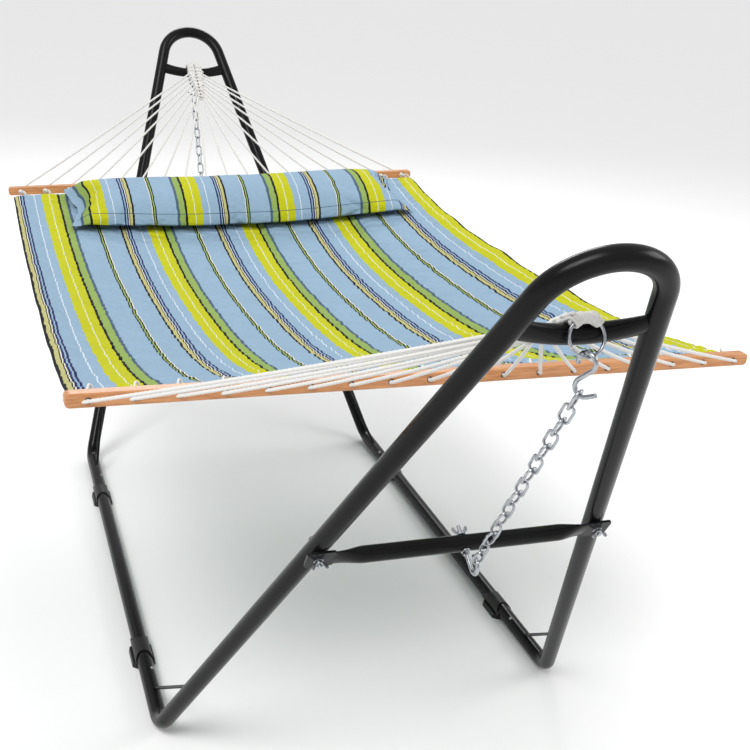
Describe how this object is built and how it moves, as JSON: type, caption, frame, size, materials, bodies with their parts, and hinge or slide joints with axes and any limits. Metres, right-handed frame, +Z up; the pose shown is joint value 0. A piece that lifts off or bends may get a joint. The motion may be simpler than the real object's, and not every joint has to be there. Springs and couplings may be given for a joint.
{
  "type": "quilted hammock on stand",
  "caption": "Two-person quilted hammock with striped fabric, wooden spreader bars and pillow, hung by chains and rings from a black steel tube stand",
  "frame": {"origin": "on the floor, midway between the four foot pads", "axes": "X across the hammock to the right, Y along it from the near end to the far (pillow) end, Z up"},
  "size_m": [1.4015, 3.2872, 1.3584],
  "materials": {
    "black_steel": "semi-gloss powder coat",
    "black_plastic": "moulded, slightly shiny",
    "zinc": "bright zinc plate",
    "varnished_wood": "clear varnish over warm brown hardwood",
    "white_rope": "twisted polyester rope",
    "striped_fabric": "quilted, woven outdoor polyester with stripes"
  },
  "bodies": {
    "stand": {"left_base_tube": "black_steel", "right_base_tube": "black_steel", "near_left_leg": "black_steel", "near_left_foot_pad": "black_plastic", "near_left_strut": "black_steel", "near_right_leg": "black_steel", "near_right_foot_pad": "black_plastic", "near_right_strut": "black_steel", "near_arch_tube": "black_steel", "near_saddle_bar": "black_steel", "near_lower_brace": "black_steel", "near_brace_bolts": "zinc", "near_hook_bolt": "zinc", "near_hook_nuts": "zinc", "near_chain": "zinc", "near_s_hook": "zinc", "near_ring": "zinc", "near_ring_wrap": "white_rope", "far_left_leg": "black_steel", "far_left_foot_pad": "black_plastic", "far_left_strut": "black_steel", "far_right_leg": "black_steel", "far_right_foot_pad": "black_plastic", "far_right_strut": "black_steel", "far_arch_tube": "black_steel", "far_saddle_bar": "black_steel", "far_lower_brace": "black_steel", "far_brace_bolts": "zinc", "far_hook_bolt": "zinc", "far_hook_nuts": "zinc", "far_chain": "zinc", "far_s_hook": "zinc", "far_ring": "zinc", "far_ring_wrap": "white_rope", "snap_springs": "zinc"},
    "hammock": {"near_spreader_bar": "varnished_wood", "near_clew": "white_rope", "near_ropes": "white_rope", "near_bed_ties": "white_rope", "far_spreader_bar": "varnished_wood", "far_clew": "white_rope", "far_ropes": "white_rope", "far_bed_ties": "white_rope", "bed": "striped_fabric", "pillow": "striped_fabric"},
    "near_left_snap_button": {"near_left_snap_button": "zinc"},
    "near_left_brace_wing_nut": {"near_left_brace_wing_nut": "zinc"},
    "near_right_snap_button": {"near_right_snap_button": "zinc"},
    "near_right_brace_wing_nut": {"near_right_brace_wing_nut": "zinc"},
    "near_hook_wing_nut": {"near_hook_wing_nut": "zinc"},
    "far_left_snap_button": {"far_left_snap_button": "zinc"},
    "far_left_brace_wing_nut": {"far_left_brace_wing_nut": "zinc"},
    "far_right_snap_button": {"far_right_snap_button": "zinc"},
    "far_right_brace_wing_nut": {"far_right_brace_wing_nut": "zinc"},
    "far_hook_wing_nut": {"far_hook_wing_nut": "zinc"}
  },
  "joints": [
    {"name": "hammock_swing", "type": "hinge", "parent": "stand", "child": "hammock", "pos_m": [0, 0, 1.219], "axis": [0, 1, 0], "range_deg": [-20, 20]},
    {"name": "near_left_snap", "type": "slide", "parent": "stand", "child": "near_left_snap_button", "axis": [0.5, 0, 0.866], "range_m": [-0.0045, 0], "stiffness_N_per_m": 400, "springref_m": 0.002, "deforming": ["snap_springs"]},
    {"name": "near_left_wing_nut_turn", "type": "hinge", "parent": "stand", "child": "near_left_brace_wing_nut", "pos_m": [-0.27981, -1.22618, 0.6882], "axis": [0, -0.8348, -0.5505], "continuous": true},
    {"name": "near_right_snap", "type": "slide", "parent": "stand", "child": "near_right_snap_button", "axis": [-0.5, 0, 0.866], "range_m": [-0.0045, 0], "stiffness_N_per_m": 400, "springref_m": 0.002, "deforming": ["snap_springs"]},
    {"name": "near_right_wing_nut_turn", "type": "hinge", "parent": "stand", "child": "near_right_brace_wing_nut", "pos_m": [0.27981, -1.22618, 0.6882], "axis": [0, -0.8348, -0.5505], "continuous": true},
    {"name": "near_hook_nut_turn", "type": "hinge", "parent": "stand", "child": "near_hook_wing_nut", "pos_m": [0, -1.20781, 0.70031], "axis": [0, -0.8348, -0.5505], "continuous": true},
    {"name": "far_left_snap", "type": "slide", "parent": "stand", "child": "far_left_snap_button", "axis": [0.5, 0, 0.866], "range_m": [-0.0045, 0], "stiffness_N_per_m": 400, "springref_m": 0.002, "deforming": ["snap_springs"]},
    {"name": "far_left_wing_nut_turn", "type": "hinge", "parent": "stand", "child": "far_left_brace_wing_nut", "pos_m": [-0.27981, 1.22618, 0.6882], "axis": [0, 0.8348, -0.5505], "continuous": true},
    {"name": "far_right_snap", "type": "slide", "parent": "stand", "child": "far_right_snap_button", "axis": [-0.5, 0, 0.866], "range_m": [-0.0045, 0], "stiffness_N_per_m": 400, "springref_m": 0.002, "deforming": ["snap_springs"]},
    {"name": "far_right_wing_nut_turn", "type": "hinge", "parent": "stand", "child": "far_right_brace_wing_nut", "pos_m": [0.27981, 1.22618, 0.6882], "axis": [0, 0.8348, -0.5505], "continuous": true},
    {"name": "far_hook_nut_turn", "type": "hinge", "parent": "stand", "child": "far_hook_wing_nut", "pos_m": [0, 1.20781, 0.70031], "axis": [0, 0.8348, -0.5505], "continuous": true}
  ]
}
